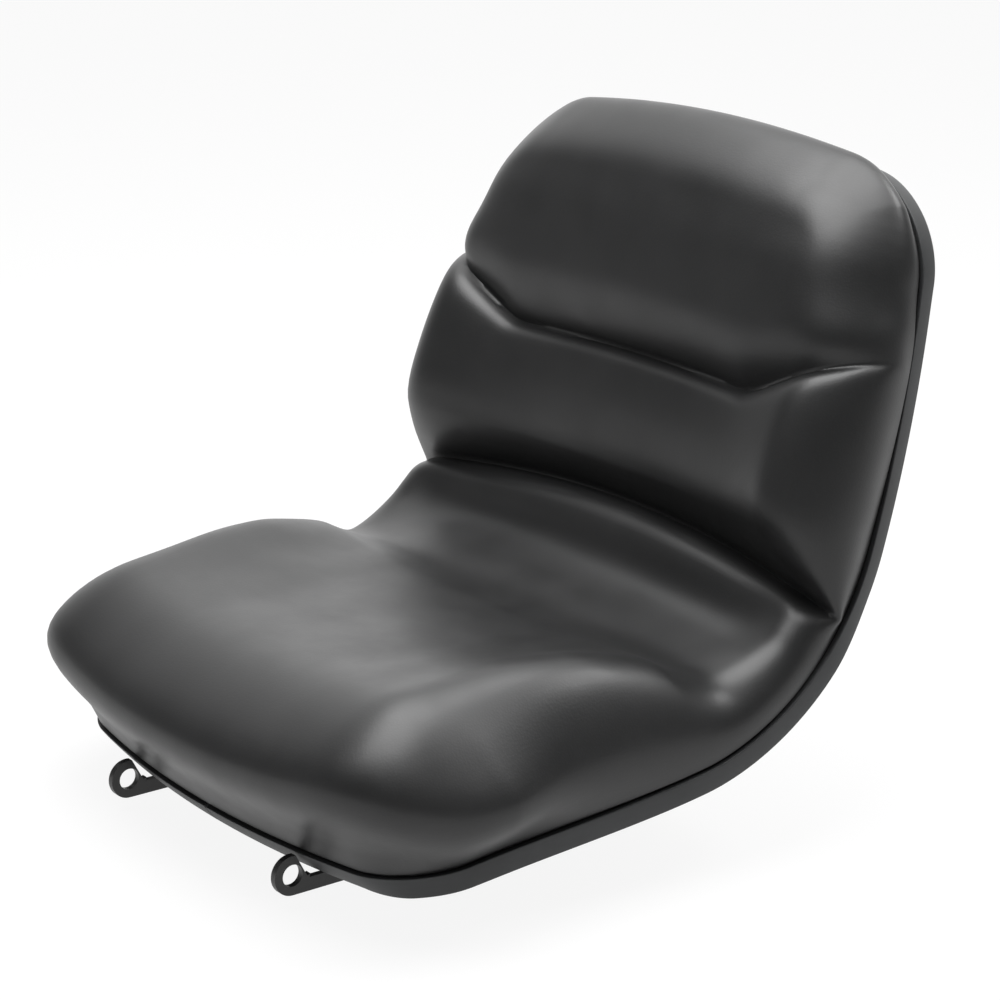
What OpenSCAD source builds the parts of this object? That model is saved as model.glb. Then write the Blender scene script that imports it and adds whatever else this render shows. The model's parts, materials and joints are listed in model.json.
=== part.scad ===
// Bucket seat for a compact tractor.
// A moulded foam cushion with one vinyl skin sits in a pressed steel pan, an edge trim
// closes the seam between them, and two bolted rails carry the pivot ears.
// X is across the seat, Y runs rearwards and Z up. The origin is the middle of the
// pivot axis, and every length is in millimetres.
// A place on the seat is written as s, the distance from the front edge along the side
// profile, x across it, and h, the height above the rim measured square to the profile.

/* [Seat outline] */
// Width of the rim at its front corners
front_w = 436; // [400:2:470]
// Widest place of the rim, at the hips
hip_w = 492; // [474:2:530]
// Width of the rim at the top of the back
top_w = 432; // [380:2:470]
// Distance of the hips from the front edge, along the profile
hip_s = 274; // [230:2:320]
// Length of the rim from the front edge to the top of the back, along the profile
rim_len = 740; // [700:1:780]
// Radius of the front corners
front_r = 52; // [40:1:75]
// Radius of the top corners
top_r = 68; // [45:1:80]
// How far the front edge bows forwards at its middle
front_bow = 25; // [0:1:35]
// How far the top edge bows upwards at its middle
top_bow = 19; // [0:1:30]

/* [Side profile] */
// Length of the straight seat part
seat_run = 255; // [230:1:280]
// Rise of the seat part towards the rear, in degrees
seat_rise = 9.4; // [4:0.1:14]
// Radius of the bend between seat and back
bend_r = 203; // [180:1:240]
// Slope of the back where the bend ends, in degrees
back_lean = 69.5; // [62:0.5:78]
// Radius of the slow curve of the back
back_r = 1580; // [1000:10:3000]
// Distance of the rim's front edge behind the pivot axis
rim_back = -0.5; // [-8:0.5:8]
// Height of the rim's front edge above the pivot axis
rim_up = 15.5; // [12:0.5:24]

/* [Cushion heights] */
// Front lip, at its middle
lip_h = 102; // [90:1:110]
// Thigh bolsters
thigh_h = 109; // [98:1:118]
// Bottom of the seat's hollow
hollow_h = 58; // [50:1:66]
// Side wall beside the hollow
waist_h = 39; // [32:1:48]
// Foot of the roll, behind the hollow
ledge_h = 30; // [24:1:40]
// Roll in front of the back
roll_h = 37; // [30:1:48]
// Lumbar pad
lumbar_h = 60; // [50:1:72]
// Side wings of the back
wing_h = 88; // [75:1:100]
// Upper pad
pad_h = 80; // [65:1:95]
// Top of the upper pad, at its middle
crown_h = 58; // [45:1:75]
// Top of the upper pad, at its corners
corner_h = 36; // [30:1:55]

/* [Cushion creases] */
// Place of the crease between seat and back
low_crease_s = 442; // [430:1:455]
// Depth of the crease between seat and back
low_crease_d = 16; // [8:1:24]
// Drop of that crease towards the sides
low_crease_drop = 29; // [0:1:38]
// Place of the crease under the upper pad
top_crease_s = 557; // [545:1:575]
// Depth of the crease under the upper pad
top_crease_d = 15; // [8:1:24]
// Half of the distance between the two points of the upper crease
crease_point_x = 137; // [110:1:160]
// Rise of the upper crease outside its points, per unit of width
crease_rise = 0.46; // [0:0.02:0.8]

/* [Cushion edges] */
// Depth of the rounded front edge
front_edge = 72; // [55:1:85]
// Depth of the rounded side edges
side_edge = 32; // [24:1:45]
// Depth of the rounded top edge
top_edge = 52; // [35:1:65]
// How far the front bulges past the rim
front_bulge = 36; // [10:1:42]
// How far the sides bulge past the rim
side_bulge = 4; // [0:1:10]
// How far the top bulges past the rim
top_bulge = 10; // [0:1:20]
// Squareness of the front edge, where 2 is round
front_square = 2.6; // [2:0.1:4]
// Squareness of the side edges
side_square = 2.3; // [2:0.1:4]
// Squareness of the top edge
top_square = 2.2; // [2:0.1:4]
// How high the front bulges most, where 1 is half-way up
front_belly = 1.9; // [1:0.1:3]
// How high the top bulges most
top_belly = 0.8; // [0.6:0.1:2]

/* [Pan] */
// Thickness of the steel sheet
pan_t = 1.5; // [1:0.1:2.5]
// Depth of the pan below the rim
pan_depth = 18; // [14:1:24]
// Width of the flange round the pan
flange_w = 10; // [8:0.5:14]
// Width of the sloping wall, seen square to the rim
wall_run = 18; // [14:0.5:24]
// Gap between the cushion and the steel
foam_gap = 0.6; // [0.4:0.1:1]
// Distance of the two stiffening beads from the middle
bead_x = 50; // [40:1:60]
// Width of a bead
bead_w = 24; // [18:1:30]
// Depth of a bead
bead_d = 5; // [3:0.5:7]

/* [Edge trim] */
// Height of the visible face
trim_h = 17; // [14:0.5:20]
// Thickness of the trim
trim_t = 2.5; // [2:0.1:4]
// Height of the hidden inner leg
trim_leg = 9; // [7:0.5:12]
// Gap between the trim and the pan
trim_gap = 0.3; // [0.2:0.1:0.6]
// Width of the butt joint at the front
joint_gap = 1.6; // [0.6:0.1:3]
// Lean of the face under the seat at the front, in degrees
lean_front = 32; // [0:1:40]
// Lean of the face along the seat, in degrees
lean_seat = 5; // [0:1:20]
// Lean of the face along the back, in degrees
lean_back = 17; // [0:1:30]

/* [Pivot rails] */
// Distance between the middles of the two plates
ear_span = 218; // [200:1:230]
// Thickness of the plate
rail_t = 5; // [4:0.5:6]
// Radius of the ear
ear_r = 14.5; // [12:0.5:18]
// Diameter of the pivot hole
pivot_d = 16; // [12:0.5:18]
// Width of the folded top flange
rail_flange = 28; // [24:1:36]
// Distance of the flange's front end from the pivot axis
flange_from = 58; // [50:1:70]
// Length of the flange, along the seat
flange_len = 176; // [160:1:190]
// Distance of the rail's rear end from the pivot axis
rail_end = 322; // [300:1:340]
// Length of the foot tab folded in at the rear
tab_len = 40; // [32:1:48]

/* [Fasteners] */
// Thread diameter of the studs that hold the rails
bolt_d = 8; // [6:1:8]
// Clearance of a stud in its hole, on the diameter
bolt_gap = 0.6; // [0.4:0.1:1]
// Width across flats of the nuts
hex_af = 13; // [10:0.5:13]
// Height of a nut
nut_h = 6.5; // [5:0.1:7]
// Outer diameter of a plain washer
washer_d = 17; // [14:0.5:18]
// Thickness of a plain washer
washer_t = 1.6; // [1:0.1:2]
// Outer diameter of a spring washer
spring_d = 14.6; // [12:0.2:15]
// Thickness of a spring washer
spring_t = 2; // [1.5:0.1:2.5]
// Spacing of the studs along a rail
bolt_pitch = 130; // [100:1:136]
// Distance of the first stud from the flange's front end
bolt_first = 22; // [18:1:26]

/* [Rest buffers] */
// Diameter of a rubber buffer
buffer_d = 24; // [20:1:26]
// Height of a rubber buffer
buffer_h = 9; // [7:0.5:11]
// Thread diameter of the buffer's screw
screw_d = 6; // [5:1:6]
// Width across flats of the screw's nut
screw_af = 10; // [8:0.5:10]

/* [Hidden] */
$fn = 48;

// Profile: a straight seat, a bend and a slowly curving back
bend_deg = back_lean - seat_rise;
bend_len = bend_r * bend_deg * PI / 180;

function clamp01(t) = min(1, max(0, t));
function smooth(t) = let (c = clamp01(t)) c * c * (3 - 2 * c);
function bell(t) = abs(t) < 1 ? (1 + cos(180 * t)) / 2 : 0;
function total(v) = v * [for (e = v) 1];

function on_bend(s) = min(max(s - seat_run, 0), bend_len);
function on_back(s) = max(s - seat_run - bend_len, 0);
function slope(s) = seat_rise + (on_bend(s) / bend_r + on_back(s) / back_r) * 180 / PI;
function bend_end(s) = seat_rise + on_bend(s) / bend_r * 180 / PI;
function back_end(s) = back_lean + on_back(s) / back_r * 180 / PI;
function rim_y(s) = rim_back + min(s, seat_run) * cos(seat_rise)
    + bend_r * (sin(bend_end(s)) - sin(seat_rise)) + back_r * (sin(back_end(s)) - sin(back_lean));
function rim_z(s) = rim_up + min(s, seat_run) * sin(seat_rise)
    + bend_r * (cos(seat_rise) - cos(bend_end(s))) + back_r * (cos(back_lean) - cos(back_end(s)));
function place(s, x, h) = let (a = slope(s)) [x, rim_y(s) - h * sin(a), rim_z(s) + h * cos(a)];

// Outline: points start on a plain rectangle, half_front either side of the middle and
// rim_len long, whose corners are then rounded and whose sides and ends are then curved
half_front = front_w / 2;
bow_run = 235;

function half_at(s) = (front_w + (hip_w - front_w) * smooth(s / hip_s)
    - (hip_w - top_w) * pow(clamp01((s - hip_s) / (rim_len - hip_s)), 2)) / 2;
function corner_r(v) = v < rim_len / 2 ? front_r : top_r;
function past(v, r) = v < rim_len / 2 ? max(0, r - v) : max(0, v - rim_len + r);
function endwards(v) = v < rim_len / 2 ? -1 : 1;
function rounded(u, v) = let (r = corner_r(v), a = max(0, abs(u) - (half_front - r)), b = past(v, r),
    m = a > 0 && b > 0 ? max(a, b) / norm([a, b]) : 1)
    [sign(u) * (abs(u) + a * (m - 1)), v + endwards(v) * b * (m - 1)];
// Moves a point that nominally lies d inside the outline outwards by w
function outwards(u, v, w) = let (p = rounded(u, v), r = corner_r(v) + 10,
    a = max(0, abs(u) - (half_front - r)), b = past(v, r), n = max(norm([a, b]), 0.001))
    [p[0] + sign(u) * a / n * w, p[1] + endwards(v) * b / n * w];
function bowed(p) = let (k = pow(p[0] / half_front, 2))
    [p[0] * half_at(p[1]) / half_front,
     p[1] + k * front_bow * clamp01(1 - p[1] / bow_run) - k * top_bow * clamp01(1 - (rim_len - p[1]) / bow_run)];
function inset_of(u, v) = min(half_front - abs(u), v, rim_len - v);

// Cushion: heights along the middle and along the sides, between which it blends
middle_heights = [[0, lip_h - 2], [60, lip_h], [270, hollow_h], [375, ledge_h],
                  [low_crease_s - 8, roll_h], [low_crease_s + 24, lumbar_h - 11],
                  [top_crease_s - 12, lumbar_h], [top_crease_s + 40, pad_h], [rim_len, crown_h]];
side_heights = [[0, thigh_h - 3], [70, thigh_h], [140, thigh_h + 1], [205, thigh_h - 11], [305, waist_h + 3],
                [345, waist_h - 1], [400, waist_h + 1], [low_crease_s - 14, waist_h + 3],
                [low_crease_s + 34, wing_h], [low_crease_s + 90, wing_h - 4],
                [top_crease_s + 40, wing_h - 22], [rim_len, corner_h]];
blend_from = 0.45;
blend_to = 0.86;
low_reach = 120;
top_reach = 110;

function chain(k, s) = k[0][1]
    + total([for (i = [0 : len(k) - 2]) (k[i + 1][1] - k[i][1]) * smooth((s - k[i][0]) / (k[i + 1][0] - k[i][0]))]);
function low_shift(x) = -low_crease_drop * pow(2 * x / hip_w, 2);
function top_shift(x) = let (k = abs(x) - crease_point_x)
    crease_rise * (k + norm([k, 10])) / 2 - 5 * pow(min(abs(x) / crease_point_x, 1), 2);
function crease(d, depth, below, above) = -depth * exp(d < 0 ? d / below : -d / above);
function cushion_h(v, x, s) = let (
    across = abs(x) / half_at(min(max(s, 0), rim_len)),
    side = smooth((across - blend_from) / (blend_to - blend_from)),
    edge = smooth((across - 0.8) / 0.2))
    chain(middle_heights, v) * (1 - side) + chain(side_heights, v) * side
    + crease(v - low_crease_s, low_crease_d * (1 + 0.3 * edge), 7, 9)
    + crease(v - top_crease_s, top_crease_d, 7, 12);

// Rounded edge: t runs from 0 at the seam to 1 where the edge ends
edge_steps = 6;
side_belly = 1;
seam_h = 3;
seam_in = 2.5;
function edge_rise(t, n) = pow(sin(90 * t), 2 / n);
function edge_in(t, deep, bulge, n, belly) = deep * (1 - pow(max(0, cos(90 * t)), 2 / n))
    - bulge * sin(180 * pow(edge_rise(t, n), belly));
function along(v, front, side, top) = let (a = smooth(v / 160), b = smooth((v - rim_len + 150) / 150))
    front * (1 - a) + side * a * (1 - b) + top * b;

// Rows run from the front edge to the top; near the creases they lie closer
row_pitch = 26;
row_count = round((rim_len - front_edge - top_edge) / row_pitch);
row_step = (rim_len - front_edge - top_edge) / row_count;
plain_rows = [for (i = [1 : row_count - 1]) front_edge + i * row_step];
crease_rows = [for (c = [low_crease_s, top_crease_s], d = [-8, -3, 0, 3.5, 11]) c + d];
function near_crease(v) = abs(v - low_crease_s - 1) < 16 || abs(v - top_crease_s - 1) < 16;
function sorted(v) = len(v) < 2 ? v : let (m = v[floor(len(v) / 2)])
    concat(sorted([for (e = v) if (e < m) e]), [for (e = v) if (e == m) e], sorted([for (e = v) if (e > m) e]));
inner_rows = sorted(concat([for (v = plain_rows) if (!near_crease(v)) v], crease_rows));
inner_columns = 14;
row_ends = [for (i = [0 : edge_steps]) i / edge_steps];
rows = concat([for (t = row_ends) front_edge * t], inner_rows,
    [for (i = [edge_steps : -1 : 0]) rim_len - top_edge * i / edge_steps]);
function edge_deep(v) = along(v, front_edge, side_edge, top_edge);
column_ends = [for (i = [0 : edge_steps]) i / edge_steps];
columns = concat([for (t = column_ends) [-1, t]],
    [for (j = [1 : inner_columns - 1]) [2 * j / inner_columns - 1, -1]],
    [for (i = [edge_steps : -1 : 0]) [1, i / edge_steps]]);
function column_u(c, v) = c[1] < 0 ? c[0] * (half_front - edge_deep(v)) : c[0] * (half_front - c[1] * edge_deep(v));

// Section of the flange, the sloping wall and the floor, at d inside the outline
function tray(d) = -pan_depth * smooth((d - flange_w) / wall_run);
function tray_tilt(d) = let (t = clamp01((d - flange_w) / wall_run))
    atan(6 * t * (1 - t) * pan_depth / wall_run);
floor_in = flange_w + wall_run;

function cushion_top(u, v) = let (
    d = inset_of(u, v), deep = edge_deep(v), t = clamp01(d / deep),
    n = along(v, front_square, side_square, top_square),
    bulge = along(v, front_bulge, side_bulge, top_bulge), belly = along(v, front_belly, side_belly, top_belly),
    q = t < 1 ? edge_in(t, deep, bulge, n, belly) : d,
    p = bowed(outwards(u, v, d - q)), x = p[0], w = p[1],
    s = w + low_shift(x) * bell((w - low_crease_s) / low_reach) + top_shift(x) * bell((w - top_crease_s) / top_reach),
    f = edge_rise(t, n))
    place(s, x, cushion_h(w, x, s) * f + seam_h * (1 - f));
upper_skin = [for (v = rows) [for (c = columns) cushion_top(column_u(c, v), v)]];

// Underside: its rings keep to the flange, the wall and the floor of the pan
rings = [0, flange_w * 0.3, flange_w * 0.65, flange_w, flange_w + wall_run * 0.33,
         flange_w + wall_run * 0.67, floor_in];
ring_n = len(rings);
lower_rows = concat(rings, inner_rows, [for (i = [ring_n - 1 : -1 : 0]) rim_len - rings[i]]);
lower_columns = concat([for (d = rings) [-1, d]],
    [for (j = [1 : inner_columns - 1]) [2 * j / inner_columns - 1, -1]],
    [for (i = [ring_n - 1 : -1 : 0]) [1, rings[i]]]);
function lower_u(c) = c[1] < 0 ? c[0] * (half_front - side_edge) : c[0] * (half_front - c[1]);
function underside(u, v) = let (d = inset_of(u, v), q = max(d, seam_in), p = bowed(outwards(u, v, d - q)))
    place(p[1], p[0], tray(d) + foam_gap);
lower_skin = [for (v = lower_rows) [for (c = lower_columns) underside(lower_u(c), v)]];

// A closed skin between an upper and a lower grid, whose outer edges are joined by a band
function grid_faces(n, m, o, flip) = [for (i = [0 : n - 2], j = [0 : m - 2], k = [0, 1])
    let (a = o + i * m + j, b = a + 1, c = a + m, d = c + 1, f = k == 0 ? [a, b, d] : [a, d, c])
    flip ? [f[2], f[1], f[0]] : f];
function edge_loop(n, m) = concat([for (j = [0 : m - 2]) j], [for (i = [0 : n - 2]) i * m + m - 1],
    [for (j = [m - 1 : -1 : 1]) (n - 1) * m + j], [for (i = [n - 1 : -1 : 1]) i * m]);
function band_faces(n, m) = let (loop = edge_loop(n, m), c = len(loop), o = n * m)
    [for (k = [0 : c - 1], t = [0, 1]) let (a = loop[k], b = loop[(k + 1) % c])
        t == 0 ? [a, a + o, b + o] : [a, b + o, b]];
module skin_between(upper, lower) {
    n = len(upper);
    m = len(upper[0]);
    polyhedron(points = concat([for (r = upper, p = r) p], [for (r = lower, p = r) p]),
        faces = concat(grid_faces(n, m, 0, true), grid_faces(n, m, n * m, false),
            [for (f = band_faces(n, m)) [f[2], f[1], f[0]]]));
}

module cushion() {
    color([0.13, 0.13, 0.14]) skin_between(upper_skin, lower_skin);
}

// Lean of the turned edge, which is steepest at the middle of the front and at the back
function lean(u, v) = let (f = smooth(1 - v / 70), c = 1 - 0.6 * smooth((abs(u) / half_front - 0.75) / 0.25),
    b = smooth((v - 380) / 60) - 0.5 * smooth((v - rim_len + 90) / 90))
    lean_front * f * c + (lean_seat + (lean_back - lean_seat) * b) * (1 - f);

// Pan: a turned-down edge, the flange, the wall and a floor with two beads
lip_in = 1.3;
lip_h_pan = trim_h - trim_t - trim_gap;
bead_edge = 6;
pan_rings = [0, 3, flange_w, flange_w + wall_run * 0.33, flange_w + wall_run * 0.67, floor_in];
pan_ring_n = len(pan_rings);
pan_rows = concat(pan_rings, [floor_in + 16], plain_rows, [rim_len - floor_in - 12],
    [for (i = [pan_ring_n - 1 : -1 : 0]) rim_len - pan_rings[i]]);
bead_columns = [bead_x - bead_w / 2, bead_x - bead_w / 2 + bead_edge,
                bead_x + bead_w / 2 - bead_edge, bead_x + bead_w / 2];
pan_inner = concat([for (i = [3 : -1 : 0]) -bead_columns[i]], [0], bead_columns);
pan_wide = [half_front - 62, half_front - 42];
pan_columns = concat([for (d = pan_rings) -(half_front - d)], [-pan_wide[1], -pan_wide[0]],
    pan_inner, [pan_wide[0], pan_wide[1]], [for (i = [pan_ring_n - 1 : -1 : 0]) half_front - pan_rings[i]]);
function on_bead(u, v) = let (a = abs(abs(u) - bead_x))
    -bead_d * smooth((bead_w / 2 - a) / bead_edge) * smooth((v - 85) / 20) * smooth((rim_len - 110 - v) / 20);
function pan_point(u, v, under) = let (d = inset_of(u, v), a = lean(u, v), t = under ? pan_t : 0)
    d < 0.01 ? let (q = lip_in + lip_h_pan * tan(a) + (under ? pan_t / cos(a) : 0),
                    p = bowed(outwards(u, v, -q))) place(p[1], p[0], -lip_h_pan)
    : d < 3.01 ? let (q = lip_in + (under ? pan_t : 0), p = bowed(outwards(u, v, d - q)))
        place(p[1], p[0], -t)
    : let (b = tray_tilt(d), p = bowed(outwards(u, v, t * sin(b))))
        place(p[1], p[0], tray(d) - t * cos(b) + on_bead(u, v));
module seat_pan() {
    color([0.1, 0.1, 0.1]) skin_between(
        [for (v = pan_rows) [for (u = pan_columns) pan_point(u, v, false)]],
        [for (v = pan_rows) [for (u = pan_columns) pan_point(u, v, true)]]);
}

// Trim: a channel that wraps the turned edge, butted at the middle of the front
function trim_section(u, v) = let (a = lean(u, v), k = tan(a), g = trim_gap / cos(a), w = trim_t / cos(a),
    o = lip_in - g, i = lip_in + pan_t / cos(a) + g, low = lip_h_pan + trim_gap, end = trim_h,
    leg = trim_h - trim_leg)
    [[o - w, 0], [o, 0], [o + low * k, -low], [i + low * k, -low], [i + leg * k, -leg],
     [i + w + leg * k, -leg], [i + w + end * k, -end], [o - w + end * k, -end]];
rim_rows = [for (v = pan_rows) if (v > 0.01 && v < rim_len - 0.01) v];
rim_front = [for (u = pan_columns) if (u > 1) [u, 0]];
rim_path = concat([[joint_gap / 2, 0]], rim_front, [for (v = rim_rows) [half_front, v]],
    [for (i = [len(pan_columns) - 1 : -1 : 0]) [pan_columns[i], rim_len]],
    [for (i = [len(rim_rows) - 1 : -1 : 0]) [-half_front, rim_rows[i]]],
    [for (u = pan_columns) if (u < -1) [u, 0]], [[-joint_gap / 2, 0]]);
joint_skew = 5;
function skewed(p, k, n, q) = k == 0 || k == n - 1 ? [p[0] + joint_skew * (q[1] / trim_h + 0.5), p[1], p[2]] : p;
module edge_trim() {
    n = len(rim_path);
    sections = [for (k = [0 : n - 1]) let (u = rim_path[k][0], v = rim_path[k][1])
        [for (q = trim_section(u, v)) let (p = bowed(outwards(u, v, -q[0])))
            skewed(place(p[1], p[0], q[1]), k, n, q)]];
    m = len(sections[0]);
    color([0.2, 0.2, 0.2]) polyhedron(points = [for (r = sections, p = r) p],
        faces = concat([[for (j = [m - 1 : -1 : 0]) j]], [[for (j = [0 : m - 1]) (n - 1) * m + j]],
            [for (i = [0 : n - 2], j = [0 : m - 1], t = [0, 1])
                let (a = i * m + j, b = i * m + (j + 1) % m, c = a + m, d = b + m)
                t == 0 ? [a, b, d] : [a, d, c]]));
}

// Frame of the flat seat part: X across, Y along the seat from the rim's front edge, Z square to it
module on_seat() {
    translate([0, rim_back, rim_up]) rotate([seat_rise, 0, 0]) children();
}
under_pan = -pan_depth - pan_t;
function seat_yz(s, h) = [rim_back + s * cos(seat_rise) - h * sin(seat_rise), rim_up + s * sin(seat_rise) + h * cos(seat_rise)];
bolt_places = [flange_from + bolt_first, flange_from + bolt_first + bolt_pitch];
bolt_x = ear_span / 2 + rail_t / 2 - rail_flange + 11;

// Rail: an upright plate with the ear, a folded flange under the pan and a foot tab
flange_a = seat_yz(flange_from, under_pan);
flange_b = seat_yz(flange_from + flange_len, under_pan);
web_a = seat_yz(flange_from, under_pan - 1);
web_b = seat_yz(flange_from + flange_len, under_pan - 1);
neck_h = 10;
tail_h = 16;
module rail(side) {
    x = side * ear_span / 2;
    inner_x = side > 0 ? x + rail_t / 2 - rail_flange : x - rail_t / 2;
    difference() {
        union() {
            translate([x - rail_t / 2, 0, 0]) rotate([90, 0, 90]) linear_extrude(rail_t)
                polygon([[0, -ear_r], [rail_end, -ear_r], [rail_end, tail_h - ear_r], web_b, web_a,
                         [web_a[0] - 22, neck_h - ear_r], [0, neck_h - ear_r]]);
            translate([x - rail_t / 2, 0, 0]) rotate([0, 90, 0]) cylinder(r = ear_r, h = rail_t);
            on_seat() translate([inner_x, flange_from, under_pan - rail_t]) cube([rail_flange, flange_len, rail_t]);
            translate([inner_x, rail_end - tab_len, -ear_r]) cube([rail_flange, tab_len, rail_t]);
        }
        translate([x - rail_t / 2 - 1, 0, 0]) rotate([0, 90, 0]) cylinder(d = pivot_d, h = rail_t + 2);
        for (s = bolt_places) on_seat() translate([side * bolt_x, s, under_pan - rail_t - 1])
            cylinder(d = bolt_d + bolt_gap, h = rail_t + 2);
        translate([side * bolt_x, rail_end - tab_len / 2, -ear_r - 1]) cylinder(d = screw_d + 0.6, h = rail_t + 2);
        translate([x - rail_t, cut_y, cut_z]) rotate([cut_tilt, 0, 0]) cube([2 * rail_t, 22, 24]);
    }
}
// Room for the trim, which passes in front of the ear
cut_y = 12;
cut_z = -3;
cut_tilt = 28;
module left_pivot_rail() {
    color([0.12, 0.12, 0.12]) rail(1);
}
module right_pivot_rail() {
    color([0.12, 0.12, 0.12]) rail(-1);
}

// Fasteners: welded studs under the pan, plain washers, spring washers and nuts
module at_bolts() {
    for (x = [-bolt_x, bolt_x], s = bolt_places) on_seat() translate([x, s, under_pan]) children();
}
module ring(outer, inner, h) {
    difference() {
        cylinder(d = outer, h = h);
        translate([0, 0, -1]) cylinder(d = inner, h = h + 2);
    }
}
module hexagon(af, h) {
    intersection() {
        cylinder(d = af / cos(30), h = h, $fn = 6);
        union() {
            translate([0, 0, 0]) cylinder(d1 = af * 0.97, d2 = af * 0.97 + 2 * h, h = h);
        }
    }
}
stud_len = rail_t + washer_t + spring_t + nut_h + 1.5;
module pan_studs() {
    color([0.7, 0.7, 0.7]) at_bolts() translate([0, 0, -stud_len]) {
        cylinder(d1 = bolt_d - 1.6, d2 = bolt_d, h = 0.8);
        translate([0, 0, 0.8]) cylinder(d = bolt_d, h = stud_len - 0.8);
    }
}
module rail_washers() {
    color([0.7, 0.7, 0.7]) at_bolts() translate([0, 0, -rail_t - washer_t]) ring(washer_d, bolt_d + bolt_gap, washer_t);
}
module rail_spring_washers() {
    color([0.6, 0.6, 0.6]) at_bolts() translate([0, 0, -rail_t - washer_t - spring_t]) difference() {
        ring(spring_d, bolt_d + bolt_gap, spring_t);
        translate([bolt_d / 2 - 1, -0.6, -1]) cube([spring_d, 1.2, spring_t + 2]);
    }
}
module rail_nuts() {
    color([0.7, 0.7, 0.7]) at_bolts() translate([0, 0, -rail_t - washer_t - spring_t - nut_h]) difference() {
        hexagon(hex_af, nut_h);
        translate([0, 0, -1]) cylinder(d = bolt_d + 0.1, h = nut_h + 2);
    }
}

// Rest buffers: a rubber block under each foot tab, held by a screw and a nut
module at_buffer(side) {
    translate([side * bolt_x, rail_end - tab_len / 2, -ear_r]) children();
}
recess_h = 4.5;
module buffer(side) {
    at_buffer(side) difference() {
        union() {
            translate([0, 0, -buffer_h]) cylinder(d1 = buffer_d - 3, d2 = buffer_d, h = 2);
            translate([0, 0, -buffer_h + 2]) cylinder(d = buffer_d, h = buffer_h - 2);
        }
        translate([0, 0, -buffer_h - 1]) cylinder(d = screw_d + 0.4, h = buffer_h + 2);
        translate([0, 0, -buffer_h - 1]) cylinder(d = 2 * screw_d + 1, h = recess_h + 1);
    }
}
module left_rest_buffer() {
    color([0.15, 0.15, 0.15]) buffer(1);
}
module right_rest_buffer() {
    color([0.15, 0.15, 0.15]) buffer(-1);
}
screw_head = 3.6;
module buffer_screws() {
    color([0.7, 0.7, 0.7]) for (side = [-1, 1]) at_buffer(side) {
        translate([0, 0, -buffer_h + recess_h - screw_head]) cylinder(d = 2 * screw_d, h = screw_head);
        translate([0, 0, -buffer_h + recess_h]) cylinder(d = screw_d, h = buffer_h - recess_h + rail_t + 1.6 + 5 + 1);
    }
}
module buffer_washers() {
    color([0.7, 0.7, 0.7]) for (side = [-1, 1]) at_buffer(side) translate([0, 0, rail_t]) ring(2 * screw_d + 0.5, screw_d + 0.4, 1.6);
}
module buffer_nuts() {
    color([0.7, 0.7, 0.7]) for (side = [-1, 1]) at_buffer(side) translate([0, 0, rail_t + 1.6]) difference() {
        hexagon(screw_af, 5);
        translate([0, 0, -1]) cylinder(d = screw_d + 0.1, h = 7);
    }
}

cushion();
seat_pan();
edge_trim();
left_pivot_rail();
right_pivot_rail();
pan_studs();
rail_washers();
rail_spring_washers();
rail_nuts();
left_rest_buffer();
right_rest_buffer();
buffer_screws();
buffer_washers();
buffer_nuts();
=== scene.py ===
"""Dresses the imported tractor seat: cushion skin, pan, edge trim, rails and fasteners."""
import json
import math

import bpy
import numpy as np
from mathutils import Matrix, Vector


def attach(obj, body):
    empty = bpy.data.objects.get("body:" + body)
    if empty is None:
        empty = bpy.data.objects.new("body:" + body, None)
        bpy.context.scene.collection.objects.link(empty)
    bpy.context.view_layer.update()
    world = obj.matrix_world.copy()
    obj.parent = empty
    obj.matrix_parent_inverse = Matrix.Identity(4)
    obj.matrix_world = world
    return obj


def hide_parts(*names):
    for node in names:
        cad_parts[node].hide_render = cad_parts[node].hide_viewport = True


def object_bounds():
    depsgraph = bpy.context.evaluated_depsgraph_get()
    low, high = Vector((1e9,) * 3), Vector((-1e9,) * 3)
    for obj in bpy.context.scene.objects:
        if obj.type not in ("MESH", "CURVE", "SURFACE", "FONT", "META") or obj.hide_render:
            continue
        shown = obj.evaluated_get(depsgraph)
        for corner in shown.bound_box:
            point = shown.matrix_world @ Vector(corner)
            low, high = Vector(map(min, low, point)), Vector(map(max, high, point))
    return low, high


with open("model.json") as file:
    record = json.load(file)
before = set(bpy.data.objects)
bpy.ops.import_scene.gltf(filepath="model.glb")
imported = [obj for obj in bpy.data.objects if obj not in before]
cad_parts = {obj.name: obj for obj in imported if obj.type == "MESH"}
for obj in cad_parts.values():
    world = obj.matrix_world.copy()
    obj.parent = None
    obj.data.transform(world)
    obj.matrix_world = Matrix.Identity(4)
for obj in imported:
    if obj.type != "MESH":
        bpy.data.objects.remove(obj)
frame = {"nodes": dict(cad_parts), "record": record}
CAD_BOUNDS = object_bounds()
NODES = frame["nodes"]
MM = 0.001

# ---------------------------------------------------------------- sizes, mm, as in the part's source
FRONT_W, HIP_W, TOP_W, HIP_S = 436, 492, 432, 274
RIM_LEN, FRONT_R, TOP_R = 740, 52, 68
FRONT_BOW, TOP_BOW, BOW_RUN = 25, 19, 235
SEAT_RUN, BEND_R, BACK_R = 255, 203, 1580
RISE, LEAN = math.radians(9.4), math.radians(69.5)
BEND_LEN = BEND_R * (LEAN - RISE)
RIM_BACK, RIM_UP = -0.5, 15.5
LOW_S, LOW_D, LOW_DROP = 442, 16, 29
TOP_S, TOP_D, POINT_X, POINT_RISE = 557, 16, 137, 0.46
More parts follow.
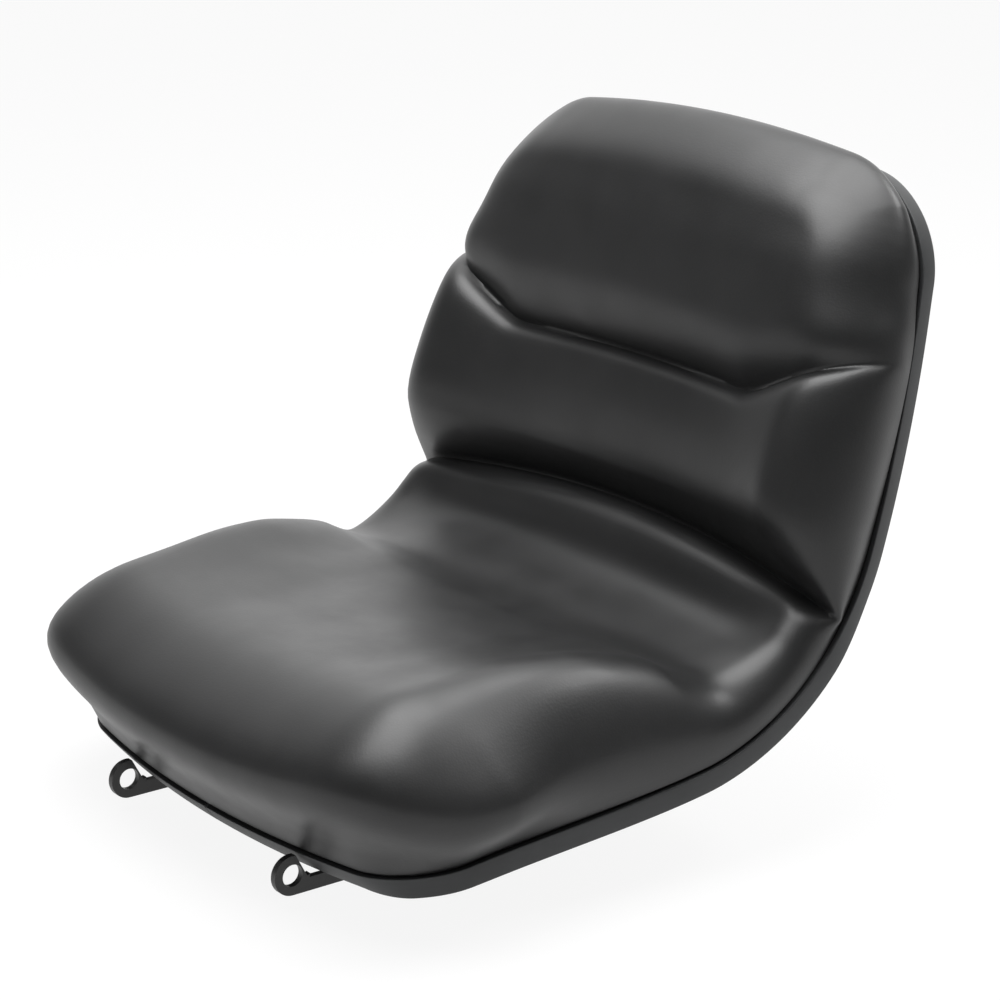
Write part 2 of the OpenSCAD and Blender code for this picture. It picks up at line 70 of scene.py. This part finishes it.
# the roll round the cushion's edge: place along the profile, how far in it starts,
# bulge, squareness and belly
EDGE_AT = (0, 60, 130, 210, 280, 330, 430, 480, 550, 600, 690, 740)
EDGES = {"deep": (61.4, 61.4, 56, 50.6, 36, 27, 27, 42, 40, 37.8, 43.7, 54.4),
         "bulge": (39.6, 39.6, 16.1, 5, 3, 3, 3, 15.7, 9.5, 5.9, 3, 14.6),
         "square": (2.5, 2.5, 2.5, 2.5, 2.3, 2.4, 2.5, 2.3, 2.5, 2.5, 2.3, 2.2),
         "belly": (1, 1, 1, 1, 1, 1, 1, 1, 1, 1, 0.8, 0.8)}
FRONT_ROLL = {"deep": 72, "bulge": 34, "square": 2.7, "belly": 1.6}
# heights of the foam over the sheet: a row for each place along the profile, from the middle to the side
ACROSS = (0, 0.35, 0.6, 0.78, 0.9, 1.0, 1.1)
HEIGHTS = {
    0: (103, 104, 108, 114, 117, 115, 109), 60: (106, 107, 111, 116, 117, 112, 101),
    100: (97, 99, 104, 112, 112, 104, 89), 150: (86, 88, 98, 109, 109, 97, 79),
    200: (75, 77, 85, 99, 98, 84, 65), 250: (64, 65, 70, 77, 76, 66, 51),
    280: (57, 58, 60, 60, 56, 49, 42), 300: (52, 52, 51, 49, 45, 41, 38),
    330: (45, 45, 43, 41, 40, 39, 37), 350: (38, 38, 37, 36, 38, 39, 37),
    362: (34, 34, 33, 33, 37, 39, 37), 375: (30, 30, 30, 31, 36, 39, 37),
    388: (29, 29, 29, 30, 36, 39, 37), 400: (33, 33, 32, 31, 36, 40, 38),
    410: (37, 37, 35, 33, 36, 40, 38), 420: (38, 38, 37, 35, 37, 41, 39),
    430: (37, 37, 36, 36, 39, 41, 39), 442: (36, 36, 37, 39, 42, 42, 40),
    464: (48, 49, 56, 66, 76, 73, 67), 484: (55, 57, 66, 81, 94, 91, 84),
    515: (60, 62, 70, 84, 93, 89, 81), 548: (60, 62, 69, 80, 84, 80, 72),
    575: (74, 75, 77, 79, 80, 73, 64), 600: (80, 80, 80, 79, 75, 66, 55),
    660: (76, 76, 76, 74, 64, 54, 42), 700: (67, 67, 65, 60, 51, 41, 31),
    740: (56, 55, 51, 42, 30, 22, 15)}
# shallow wrinkles beside the lower crease: place along the profile, across, half length, slant and depth
WRINKLES = ((428, -62, 44, 0.05, 0.55), (434, -18, 34, 0.02, 0.5), (422, -118, 26, 0.1, 0.4),
            (431, 96, 30, -0.06, 0.45), (455, 172, 16, -0.3, 0.5), (457, -176, 14, 0.3, 0.45))
WRINKLE_W = 1.9
# how wide each crease opens in front of and behind its line
LOW_FRONT, LOW_BACK, TOP_FRONT, TOP_BACK = 9, 10, 6, 20
# how far from the seam the roll takes its own shape, and how far along the table is read at its edge
SEAM_MIX, EDGE_SPREAD = 14, 22
SEAM_H, SEAM_IN, FOAM_GAP = 3, 2.5, 0.6
PAN_T, PAN_DEPTH, FLANGE_W, WALL_RUN = 1.5, 18, 10, 18
FLOOR_IN = FLANGE_W + WALL_RUN
BEAD_X, BEAD_W, BEAD_D, BEAD_EDGE = 50, 24, 5, 6
TRIM_H, TRIM_T, TRIM_LEG, TRIM_GAP, JOINT = 17, 2.5, 9, 0.3, 3.2
LIP_IN = 1.3
LIP_LEN = TRIM_H - TRIM_T - TRIM_GAP
HALF = FRONT_W / 2
EASE = 10  # the corners start to turn this far before their radius


# ---------------------------------------------------------------- the seat's form
def smooth(t):
    t = np.clip(t, 0, 1)
    return t * t * (3 - 2 * t)


def bell(t):
    return np.where(abs(t) < 1, (1 + np.cos(np.pi * np.clip(t, -1, 1))) / 2, 0)


def place(s, x, h):
    """A point h above the rim's sheet, s along the profile and x across, in mm."""
    a = np.minimum(s, SEAT_RUN)
    b = np.clip(s - SEAT_RUN, 0, BEND_LEN)
    c = np.maximum(s - SEAT_RUN - BEND_LEN, 0)
    t, w = RISE + b / BEND_R, LEAN + c / BACK_R
    y = RIM_BACK + a * math.cos(RISE) + BEND_R * (np.sin(t) - math.sin(RISE)) \
        + BACK_R * (np.sin(w) - math.sin(LEAN))
    z = RIM_UP + a * math.sin(RISE) + BEND_R * (math.cos(RISE) - np.cos(t)) \
        + BACK_R * (math.cos(LEAN) - np.cos(w))
    p = t + c / BACK_R
    return np.stack([x + 0 * y, y - h * np.sin(p), z + h * np.cos(p)], -1)


def half_at(s):
    return (FRONT_W + (HIP_W - FRONT_W) * smooth(s / HIP_S)
            - (HIP_W - TOP_W) * np.clip((s - HIP_S) / (RIM_LEN - HIP_S), 0, 1) ** 2) / 2


def outwards(u, v, w):
    """Rounds the corners of the plain sheet and moves a point outwards by w."""
    low = v < RIM_LEN / 2
    end = np.where(low, -1, 1)
    r = np.where(low, FRONT_R, TOP_R)

    def parts(r):
        return (np.maximum(0, abs(u) - (HALF - r)),
                np.where(low, np.maximum(0, r - v), np.maximum(0, v - RIM_LEN + r)))

    a, b = parts(r)
    inside = (a > 0) & (b > 0)
    m = np.where(inside, np.maximum(a, b) / np.maximum(np.hypot(a, b), 1e-9), 1)
    p, q = np.sign(u) * (abs(u) + a * (m - 1)), v + end * b * (m - 1)
    a, b = parts(r + EASE)
    n = np.maximum(np.hypot(a, b), 1e-3)
    return p + np.sign(u) * a / n * w, q + end * b / n * w


def bowed(p, q):
    k = (p / HALF) ** 2
    return (p * half_at(q) / HALF, q + k * FRONT_BOW * np.clip(1 - q / BOW_RUN, 0, 1)
            - k * TOP_BOW * np.clip(1 - (RIM_LEN - q) / BOW_RUN, 0, 1))


def along(v, name):
    steps = np.linspace(-1.5, 1.5, 7)
    w = np.exp(-steps ** 2 / 2)
    return sum(k * np.interp(v + EDGE_SPREAD * s, EDGE_AT, EDGES[name])
               for s, k in zip(steps, w / w.sum()))


def inset(u, v):
    return np.minimum(np.minimum(HALF - abs(u), v), RIM_LEN - v)


def foam(s, across):
    """Heights read from the table between its rows and columns, then evened out as foam evens them."""
    rows, table = np.array(sorted(HEIGHTS)), np.array([HEIGHTS[k] for k in sorted(HEIGHTS)])
    taps = np.linspace(-2, 2, 9)
    weights = np.exp(-taps ** 2 / 2)
    weights /= weights.sum()
    soft_s = 9 + 15 * smooth((230 - s) / 120) - 3.5 * smooth((s - 330) / 30) * smooth((470 - s) / 20)
    soft_x = 0.045 + 0.04 * smooth((s - 440) / 30) * smooth((575 - s) / 20)
    total = 0
    for i, wi in zip(taps, weights):
        profile = [np.interp(s + i * soft_s, rows, table[:, k]) for k in range(len(ACROSS))]
        for j, wj in zip(taps, weights):
            a = abs(across + j * soft_x)
            h = profile[-1]
            for k in range(len(ACROSS) - 2, -1, -1):
                t = np.clip((a - ACROSS[k]) / (ACROSS[k + 1] - ACROSS[k]), 0, 1)
                h = np.where(a < ACROSS[k + 1], profile[k] * (1 - t) + profile[k + 1] * t, h)
            total = total + wi * wj * h
    return total


def crease(d, depth, front, back, tight=1.6):
    e = np.hypot(d, tight) - tight
    return -depth * np.exp(np.where(d < 0, -e / front, -e / back))


def wrinkles(w, x):
    return sum(-deep * np.exp(-((w - s0 - slant * (x - x0)) / WRINKLE_W) ** 2) * bell((x - x0) / half)
               for s0, x0, half, slant, deep in WRINKLES)


def skin_height(w, x, s):
    across = x / half_at(np.clip(s, 0, RIM_LEN))
    edge = smooth((abs(across) - 0.8) / 0.2)
    low = crease(w - LOW_S, LOW_D * (1 + 0.3 * edge), LOW_FRONT, LOW_BACK)
    top = crease(w - TOP_S, TOP_D, TOP_FRONT, TOP_BACK)
    return foam(w, across) + low + top + wrinkles(w, x)


def skin(u, v):
    """A point of the cushion's upper skin."""
    low, d, side_roll = v < RIM_LEN / 2, inset(u, v), {k: along(v, k) for k in EDGES}
    a, b = outwards(u, v, 0)
    r = np.where(low, FRONT_R, TOP_R)
    end_roll = {k: np.where(low, FRONT_ROLL[k], side_roll[k]) for k in EDGES}
    in_side, in_end = np.maximum(r, side_roll["deep"]), np.maximum(r, end_roll["deep"])
    side = np.clip(1 - (HALF - abs(a)) / in_side, 0, 1)
    end = np.clip(1 - np.where(low, b, RIM_LEN - b) / in_end, 0, 1)
    m = math.log(2) / -np.log(1 - 0.29289 * r / np.sqrt(in_side * in_end))
    part = end ** m / np.maximum(side ** m + end ** m, 1e-9)
    deep, bulge, n, belly = (side_roll[k] * (1 - part) + end_roll[k] * part
                             for k in ("deep", "bulge", "square", "belly"))
    rho = in_side * (1 - part) + in_end * part
    soft = (1 - (side ** m + end ** m) ** (1 / m)) * rho
    soft = soft + (d - soft) * (1 - smooth(d / SEAM_MIX))
    t = np.clip(soft / deep, 0, 1)
    f = np.sin(np.pi / 2 * t) ** (2 / n)
    q = deep * (1 - np.maximum(0, np.cos(np.pi / 2 * t)) ** (2 / n)) \
        - bulge * np.sin(np.pi * f ** belly)
    grow = np.where(t < 1, (1 - q / rho) / np.maximum(1 - soft / rho, 1e-9) - 1, 0)
    x, w = bowed(a + np.sign(u) * side * grow * in_side,
                 b + np.where(low, -1, 1) * end * grow * in_end)
    k = abs(x) - POINT_X
    s = w - LOW_DROP * (2 * x / HIP_W) ** 2 * bell((w - LOW_S) / 120) \
        + (POINT_RISE * (k + np.hypot(k, 10)) / 2
           - 4 * np.minimum(abs(x) / POINT_X, 1) ** 2) * bell((w - TOP_S) / 110)
    return place(s, x, skin_height(w, x, s) * f + SEAM_H * (1 - f))


def tray(d):
    """Height of the pan's inner face, by the distance from the rim."""
    return -PAN_DEPTH * smooth((d - FLANGE_W) / WALL_RUN)


def underside(u, v):
    d = inset(u, v)
    x, s = bowed(*outwards(u, v, d - np.maximum(d, SEAM_IN)))
    return place(s, x, tray(d) + FOAM_GAP)


def lean(u, v):
    """How far the trim and the pan's lip lean outwards, in radians."""
    f, c = smooth(1 - v / 70), 1 - 0.6 * smooth((abs(u) / HALF - 0.75) / 0.25)
    b = smooth((v - 380) / 60) - 0.5 * smooth((v - RIM_LEN + 90) / 90)
    return np.radians(32 * f * c + (5 + 12 * b) * (1 - f))


# ---------------------------------------------------------------- mesh tools
def deselect():
    if bpy.context.object and bpy.context.object.mode != "OBJECT":
        bpy.ops.object.mode_set(mode="OBJECT")
    bpy.ops.object.select_all(action="DESELECT")


def grid(name, n, m):
    """A flat grid of n by m points."""
    deselect()
    bpy.ops.mesh.primitive_grid_add(x_subdivisions=m - 1, y_subdivisions=n - 1, size=2)
    o = bpy.context.object
    o.name = o.data.name = name
    return o


def rows_columns(o, n, m):
    """Each point's row and column in its grid, and its height."""
    co = np.zeros(len(o.data.vertices) * 3, np.float32)
    o.data.vertices.foreach_get("co", co)
    co = co.reshape(-1, 3)
    col = np.rint((co[:, 0] + 1) / 2 * (m - 1)).astype(int)
    row = np.rint((co[:, 1] + 1) / 2 * (n - 1)).astype(int)
    return row, col, co[:, 2]


def set_points(o, points):
    o.data.vertices.foreach_set("co", (points * MM).astype(np.float32).ravel())
    o.data.update()


def finish_mesh(o, angle=40):
    deselect()
    o.select_set(True)
    bpy.context.view_layer.objects.active = o
    bpy.ops.object.mode_set(mode="EDIT")
    bpy.ops.mesh.select_all(action="SELECT")
    bpy.ops.mesh.normals_make_consistent(inside=False)
    bpy.ops.object.mode_set(mode="OBJECT")
    bpy.ops.object.shade_smooth_by_angle(angle=math.radians(angle))


def closed_sheet(name, upper, lower, angle=40):
    """A solid between two grids of points: a grid extruded once, its points then moved."""
    n, m = upper.shape[:2]
    o = grid(name, n, m)
    bpy.ops.object.mode_set(mode="EDIT")
    bpy.ops.mesh.select_all(action="SELECT")
    bpy.ops.mesh.extrude_region_move(TRANSFORM_OT_translate={"value": (0, 0, -1)})
    bpy.ops.object.mode_set(mode="OBJECT")
    row, col, z = rows_columns(o, n, m)
    set_points(o, np.where(z[:, None] > -0.5, upper[row, col], lower[row, col]))
    finish_mesh(o, angle)
    rim, up = (row == 0) | (row == n - 1) | (col == 0) | (col == m - 1), z > -0.5
    for e in o.data.edges:
        i, j = e.vertices
        if rim[i] and rim[j] and up[i] == up[j]:
            e.use_edge_sharp = True
    return o


def spread(stops):
    """Values from the first stop to the last; each stop is (value, pitch from there on)."""
    out = []
    for (a, pitch), (b, _) in zip(stops, stops[1:]):
        out += list(np.linspace(a, b, max(2, round((b - a) / pitch) + 1))[:-1])
    return np.array(out + [stops[-1][0]])


# ---------------------------------------------------------------- cushion
def make_cushion():
    edge = np.linspace(0, 1, 23)[:-1]
    deep, top = FRONT_ROLL["deep"], RIM_LEN - EDGES["deep"][-1]
    inner = spread([(deep, 5), (LOW_S - 26, 1.8), (LOW_S + 30, 5),
                    (TOP_S - 26, 1.8), (TOP_S + 34, 5), (top, 5)])
    rows = np.concatenate([deep * edge, inner, RIM_LEN - (RIM_LEN - top) * edge[::-1]])
    side = np.linspace(0, 1, 21)[:-1]
    mid = np.linspace(-1, 1, 84)
    upper, lower = [], []
    for v in rows:
        d = float(along(v, "deep"))
        u = np.concatenate([-(HALF - d * side), mid * (HALF - d), (HALF - d * side)[::-1]])
        upper.append(skin(u, v + 0 * u))
        lower.append(underside(u, v + 0 * u))
    return closed_sheet("cushion_skin", np.array(upper), np.array(lower), 60)


# ---------------------------------------------------------------- pan
def pan_side(rows, cols, under):
    u, v = np.meshgrid(cols, rows)
    d, a = inset(u, v), lean(u, v)
    t = PAN_T if under else 0.0
    wall = np.clip((d - FLANGE_W) / WALL_RUN, 0, 1)
    tilt = np.arctan(6 * wall * (1 - wall) * PAN_DEPTH / WALL_RUN)
    bead = -BEAD_D * smooth((BEAD_W / 2 - abs(abs(u) - BEAD_X)) / BEAD_EDGE) \
        * smooth((v - 85) / 20) * smooth((RIM_LEN - 110 - v) / 20)
    round_h = 2.0
    q = d - t * np.sin(tilt)
    h = tray(d) - t * np.cos(tilt) + bead
    lip = np.clip(1 - d / 2, 0, 1)
    arc = np.clip((d - 2) / 3, 0, 1) * np.pi / 2
    turn_q = LIP_IN + t + (round_h - t * 0.4) * (1 - np.cos(arc))
    turn_h = -t - (round_h - t * 0.4) * (1 - np.sin(arc))
    low = -round_h - lip * (LIP_LEN - round_h)
    lip_q = LIP_IN + (-low - round_h) * np.tan(a) + t / np.cos(a)
    q = np.where(d < 5, np.where(d < 2, lip_q, turn_q), q)
    h = np.where(d < 5, np.where(d < 2, low - 0.6 * t * (d > 0.01), turn_h), h)
    x, s = bowed(*outwards(u, v, d - q))
    return place(s, x, h)


def make_pan():
    ring = [0, 1, 1.99, 2.5, 3.2, 4, 5, 7, 10, 12, 14, 16, 18, 20, 22, 24, 26, 28]
    rows = np.concatenate([ring, spread([(34, 8), (RIM_LEN - 34, 8)]), RIM_LEN - np.array(ring[::-1])])
    bead = spread([(36, 2), (64, 2)])
    right = np.concatenate([spread([(0, 12), (36, 12)])[:-1], bead,
                            spread([(72, 9), (HALF - 34, 9)])])
    cols = np.concatenate([-(HALF - np.array(ring)), -right[::-1], right[1:],
                           (HALF - np.array(ring))[::-1]])
    return closed_sheet("pan_sheet", pan_side(rows, cols, False), pan_side(rows, cols, True), 50)


# ---------------------------------------------------------------- trim
def round_corners(points, radii, steps=4):
    out = []
    n = len(points)
    for i in range(n):
        p, a, b = points[i], points[i - 1], points[(i + 1) % n]
        r = radii[i]
        if r == 0:
            out.append(p)
            continue
        va, vb = (a - p) / np.linalg.norm(a - p), (b - p) / np.linalg.norm(b - p)
        for k in range(steps + 1):
            t = k / steps
            out.append((1 - t) ** 2 * (p + va * r) + 2 * t * (1 - t) * p + t * t * (p + vb * r))
    return np.array(out)


def trim_section(a, grow):
    k, g, w = math.tan(a), TRIM_GAP / math.cos(a), TRIM_T / math.cos(a)
    o = LIP_IN - g
    i = LIP_IN + PAN_T / math.cos(a) + g
    low, leg, end = LIP_LEN + TRIM_GAP, TRIM_H - TRIM_LEG, TRIM_H + grow
    pts = np.array([[o - w, 0], [o + 0.9, 0.25], [o + 0.1, -1.2], [o + low * k, -low],
                    [i + low * k, -low], [i + leg * k, -leg], [i + w + leg * k, -leg],
                    [i + w + end * k, -end], [o - w + end * k, -end],
                    [o - w - 0.45 + end * k * 0.5, -end * 0.5]])
    return round_corners(pts, [1.1, 0.4, 0.3, 0.4, 0.4, 0.4, 0.8, 1.4, 1.6, 3.5])


def make_trim():
    u = spread([(JOINT / 2, 5), (HALF - FRONT_R - 6, 2.5), (HALF, 2.5)])
    v = spread([(0, 2.5), (FRONT_R + 6, 6), (RIM_LEN - TOP_R - 6, 3), (RIM_LEN, 3)])
    top = spread([(-HALF, 3), (-HALF + TOP_R + 6, 6), (HALF - TOP_R - 6, 3), (HALF, 3)])
    path = [(a, 0.0) for a in u] + [(HALF, b) for b in v[1:]] + [(a, RIM_LEN) for a in top[::-1][1:]] \
        + [(-HALF, b) for b in v[::-1][1:]] + [(-a, 0.0) for a in u[::-1][1:]]
    rings = []
    for k, (a, b) in enumerate(path):
        near_end = max(0.0, 1 - (-a - JOINT / 2) / 7) if b == 0 and a < 0 else 0.0
        sec = trim_section(float(lean(np.array(a), np.array(b))), 1.6 * near_end)
        uu, vv = np.full(len(sec), a), np.full(len(sec), b)
        x, s = bowed(*outwards(uu, vv, -sec[:, 0] - 0.35 * near_end))
        pts = place(s, x, sec[:, 1])
        if k in (0, len(path) - 1):
            pts[:, 0] += 5 * (sec[:, 1] / TRIM_H + 0.5)
        rings.append(pts)
    rings = np.array(rings)
    rings = np.concatenate([rings, rings[:, :1]], 1)
    n, m = rings.shape[:2]
    o = grid("trim_channel", n, m)
    row, col, _ = rows_columns(o, n, m)
    set_points(o, rings[row, col])
    bpy.ops.object.mode_set(mode="EDIT")
    bpy.ops.mesh.select_all(action="SELECT")
    bpy.ops.mesh.remove_doubles(threshold=1e-6)
    bpy.ops.mesh.select_all(action="DESELECT")
    bpy.ops.mesh.select_mode(type="EDGE")
    bpy.ops.mesh.select_non_manifold()
    bpy.ops.mesh.fill_holes(sides=0)
    bpy.ops.object.mode_set(mode="OBJECT")
    finish_mesh(o, 38)
    return o


# ---------------------------------------------------------------- materials
def node_group(name, build, output):
    g = bpy.data.node_groups.new(name, "ShaderNodeTree")
    g.interface.new_socket(output, in_out="OUTPUT", socket_type="NodeSocketFloat")
    g.links.new(build(g), g.nodes.new("NodeGroupOutput").inputs[output])
    return g


def noise(t, coord, scale, detail=3.0, rough=0.5):
    n = t.nodes.new("ShaderNodeTexNoise")
    n.inputs["Scale"].default_value = scale
    n.inputs["Detail"].default_value = detail
    n.inputs["Roughness"].default_value = rough
    t.links.new(coord, n.inputs["Vector"])
    return n.outputs["Fac"]


def remap(t, value, a, b, c, d):
    n = t.nodes.new("ShaderNodeMapRange")
    for k, x in zip(("From Min", "From Max", "To Min", "To Max"), (a, b, c, d)):
        n.inputs[k].default_value = x
    t.links.new(value, n.inputs["Value"])
    return n.outputs["Result"]


def maths(t, op, a, b):
    n = t.nodes.new("ShaderNodeMath")
    n.operation = op
    for k, x in enumerate((a, b)):
        if isinstance(x, (int, float)):
            n.inputs[k].default_value = x
        else:
            t.links.new(x, n.inputs[k])
    return n.outputs[0]


def mix_colour(t, fac, a, b):
    n = t.nodes.new("ShaderNodeMix")
    n.data_type = "RGBA"
    t.links.new(fac, n.inputs["Factor"])
    for k, x in (("A", a), ("B", b)):
        s = [i for i in n.inputs if i.name == k and i.type == "RGBA"][0]
        if isinstance(x, tuple):
            s.default_value = (*x, 1)
        else:
            t.links.new(x, s)
    return [o for o in n.outputs if o.type == "RGBA"][0]


def object_coord(t):
    return t.nodes.new("ShaderNodeTexCoord").outputs["Object"]


def build_handling(g):
    """Slow changes over a surface: 0 clean, 1 handled or dusty."""
    c = object_coord(g)
    a = noise(g, c, 9, 4, 0.55)
    b = noise(g, c, 70, 3, 0.6)
    return maths(g, "MULTIPLY", remap(g, a, 0.35, 0.68, 0, 1), remap(g, b, 0.3, 0.7, 0.5, 1))


HANDLING = node_group("handling", build_handling, "Amount")


def group(t, g):
    n = t.nodes.new("ShaderNodeGroup")
    n.node_tree = g
    return n.outputs[0]


def material(name, **values):
    m = bpy.data.materials.new(name)
    m.use_nodes = True
    t = m.node_tree
    p = t.nodes["Principled BSDF"]
    for k, v in values.items():
        p.inputs[k.replace("_", " ")].default_value = v
    return m, t, p


def bump(t, p, height, strength, distance):
    n = t.nodes.new("ShaderNodeBump")
    n.inputs["Strength"].default_value = strength
    n.inputs["Distance"].default_value = distance
    t.links.new(height, n.inputs["Height"])
    t.links.new(n.outputs["Normal"], p.inputs["Normal"])


def vinyl():
    m, t, p = material("cushion_vinyl_mat", Specular_IOR_Level=0.5, Coat_Weight=0.06, Coat_Roughness=0.28)
    c = object_coord(t)
    cell = t.nodes.new("ShaderNodeTexVoronoi")
    cell.feature = "SMOOTH_F1"
    cell.inputs["Scale"].default_value = 620
    cell.inputs["Smoothness"].default_value = 0.6
    t.links.new(c, cell.inputs["Vector"])
    pebble = remap(t, cell.outputs["Distance"], 0.0, 0.7, 1, 0)
    fine = noise(t, c, 2300, 3, 0.6)
    slow = noise(t, c, 26, 3, 0.5)
    grain = maths(t, "ADD", maths(t, "MULTIPLY", pebble, 0.75), maths(t, "MULTIPLY", fine, 0.35))
    handled = group(t, HANDLING)
    base = mix_colour(t, handled, (0.0085, 0.0087, 0.009), (0.0115, 0.0115, 0.0118))
    tips = remap(t, pebble, 0.2, 0.9, 0, 0.35)
    t.links.new(mix_colour(t, tips, base, (0.015, 0.015, 0.0155)), p.inputs["Base Color"])
    rough = maths(t, "ADD", remap(t, slow, 0.3, 0.7, 0.39, 0.45), maths(t, "MULTIPLY", handled, 0.04))
    t.links.new(rough, p.inputs["Roughness"])
    bump(t, p, grain, 0.32, 0.00012)
    return m


def rubber(name, colour, rough):
    m, t, p = material(name, Specular_IOR_Level=0.45)
    c = object_coord(t)
    fine = noise(t, c, 1500, 3, 0.6)
    handled = group(t, HANDLING)
    light = tuple(min(1, x * 1.5 + 0.006) for x in colour)
    t.links.new(mix_colour(t, handled, colour, light), p.inputs["Base Color"])
    rough = remap(t, fine, 0.3, 0.7, rough - 0.05, rough + 0.05)
    rough = maths(t, "ADD", rough, maths(t, "MULTIPLY", handled, 0.05))
    t.links.new(rough, p.inputs["Roughness"])
    bump(t, p, fine, 0.25, 0.00008)
    return m


def coat(name, colour, rough):
    m, t, p = material(name, Specular_IOR_Level=0.5)
    c = object_coord(t)
    peel = noise(t, c, 700, 2, 0.5)
    handled = group(t, HANDLING)
    paint = mix_colour(t, handled, colour, tuple(x * 1.6 + 0.004 for x in colour))
    t.links.new(paint, p.inputs["Base Color"])
    rough = remap(t, peel, 0.3, 0.7, rough - 0.04, rough + 0.04)
    rough = maths(t, "ADD", rough, maths(t, "MULTIPLY", handled, 0.07))
    t.links.new(rough, p.inputs["Roughness"])
    bump(t, p, peel, 0.2, 0.0002)
    return m


def zinc():
    m, t, p = material("zinc_steel_mat", Metallic=1.0)
    c = object_coord(t)
    a, b = noise(t, c, 180, 4, 0.6), noise(t, c, 1400, 2, 0.5)
    colour = mix_colour(t, remap(t, a, 0.3, 0.7, 0, 1), (0.52, 0.52, 0.5), (0.68, 0.67, 0.63))
    t.links.new(colour, p.inputs["Base Color"])
    t.links.new(remap(t, b, 0.3, 0.7, 0.26, 0.42), p.inputs["Roughness"])
    bump(t, p, b, 0.12, 0.0001)
    return m


MATS = {
    "cushion_vinyl": vinyl(),
    "pan_paint": coat("pan_paint_mat", (0.016, 0.016, 0.016), 0.42),
    "rail_paint": coat("rail_paint_mat", (0.012, 0.012, 0.012), 0.38),
    "trim_rubber": rubber("trim_rubber_mat", (0.022, 0.023, 0.024), 0.55),
    "buffer_rubber": rubber("buffer_rubber_mat", (0.02, 0.02, 0.02), 0.66),
    "zinc_steel": zinc(),
}


def dress(o, slot):
    o.data.materials.clear()
    o.data.materials.append(MATS[slot])


def add(o, slot, node):
    dress(o, slot)
    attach(o, "root")
    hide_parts(node)


cushion = make_cushion()
add(cushion, "cushion_vinyl", "cushion")
add(make_pan(), "pan_paint", "seat_pan")
add(make_trim(), "trim_rubber", "edge_trim")
for part in frame["record"]["subparts"]:
    if part["node"] in NODES and part["node"] not in ("cushion", "seat_pan", "edge_trim"):
        dress(NODES[part["node"]], part["material_slot"])


# ---------------------------------------------------------------- floor, light and camera
def bright_for_view(t, shader, keep):
    """White to the camera and in reflections, apart from the share that shows the shadow."""
    path = t.nodes.new("ShaderNodeLightPath")
    seen = maths(t, "MAXIMUM", path.outputs["Is Camera Ray"], path.outputs["Is Glossy Ray"])
    seen = maths(t, "MAXIMUM", seen, path.outputs["Is Transmission Ray"])
    glow = t.nodes.new("ShaderNodeEmission")
    glow.inputs["Color"].default_value = (1, 1, 1, 1)
    glow.inputs["Strength"].default_value = 1.0
    mix = t.nodes.new("ShaderNodeMixShader")
    t.links.new(maths(t, "MULTIPLY", seen, keep), mix.inputs["Fac"])
    t.links.new(shader, mix.inputs[1])
    t.links.new(glow.outputs[0], mix.inputs[2])
    return mix.outputs[0]


deselect()
bpy.ops.mesh.primitive_plane_add(size=30, location=(0, 0, CAD_BOUNDS[0].z))
floor = bpy.context.object
floor.name = "floor"
fm = bpy.data.materials.new("floor_mat")
fm.use_nodes = True
ft = fm.node_tree
fp = ft.nodes["Principled BSDF"]
fp.inputs["Base Color"].default_value = (0.86, 0.86, 0.86, 1)
fp.inputs["Roughness"].default_value = 0.7
ft.links.new(bright_for_view(ft, fp.outputs[0], 0.9), ft.nodes["Material Output"].inputs["Surface"])
floor.data.materials.append(fm)

world = bpy.context.scene.world or bpy.data.worlds.new("world")
bpy.context.scene.world = world
world.use_nodes = True
wt = world.node_tree
wt.nodes.clear()
# a bright studio wall beyond the seat on its left, and a dim room on the other sides
wall = wt.nodes.new("ShaderNodeVectorMath")
wall.operation = "DOT_PRODUCT"
wall.inputs[1].default_value = Vector((-0.66, 0.68, 0.32)).normalized()
wt.links.new(wt.nodes.new("ShaderNodeTexCoord").outputs["Generated"], wall.inputs[0])
dim = wt.nodes.new("ShaderNodeBackground")
dim.inputs["Color"].default_value = (1, 1, 1, 1)
wt.links.new(remap(wt, wall.outputs["Value"], 0.5, 0.95, 0.2, 1.6), dim.inputs["Strength"])
path = wt.nodes.new("ShaderNodeLightPath")
white = wt.nodes.new("ShaderNodeBackground")
white.inputs["Color"].default_value = (1, 1, 1, 1)
white.inputs["Strength"].default_value = 1.0
mix = wt.nodes.new("ShaderNodeMixShader")
wt.links.new(path.outputs["Is Camera Ray"], mix.inputs["Fac"])
wt.links.new(dim.outputs[0], mix.inputs[1])
wt.links.new(white.outputs[0], mix.inputs[2])
wt.links.new(mix.outputs[0], wt.nodes.new("ShaderNodeOutputWorld").inputs["Surface"])


def lamp(name, place_at, aim, size, power):
    data = bpy.data.lights.new(name, "AREA")
    data.shape = "RECTANGLE"
    data.size, data.size_y = size
    data.energy = power
    o = bpy.data.objects.new(name, data)
    bpy.context.collection.objects.link(o)
    o.location = place_at
    o.rotation_euler = (Vector(aim) - Vector(place_at)).to_track_quat("-Z", "Y").to_euler()


lamp("top_soft", (-0.2, 0.1, 2.2), (0, 0.2, 0.15), (2.0, 1.6), 75)
lamp("back_soft", (0.6, 1.45, 1.85), (0, 0.2, 0.15), (1.0, 0.4), 20)

# the camera fitted to the photo, its focal length in pixels of the photo
SENSOR, FOCAL_PX, PHOTO_PX = 36, 3094.69, 1000
cam = bpy.data.objects.new("camera", bpy.data.cameras.new("camera"))
bpy.context.collection.objects.link(cam)
cam.data.sensor_width = SENSOR
cam.data.lens = FOCAL_PX / PHOTO_PX * SENSOR
cam.data.clip_start, cam.data.clip_end = 0.05, 60
cam.location = (1.7466, -1.0557, 0.8616)
cam.rotation_euler = (math.radians(90 - 17.01), 0, math.radians(52.99))
bpy.context.scene.camera = cam
bpy.context.scene.view_settings.view_transform = "Standard"
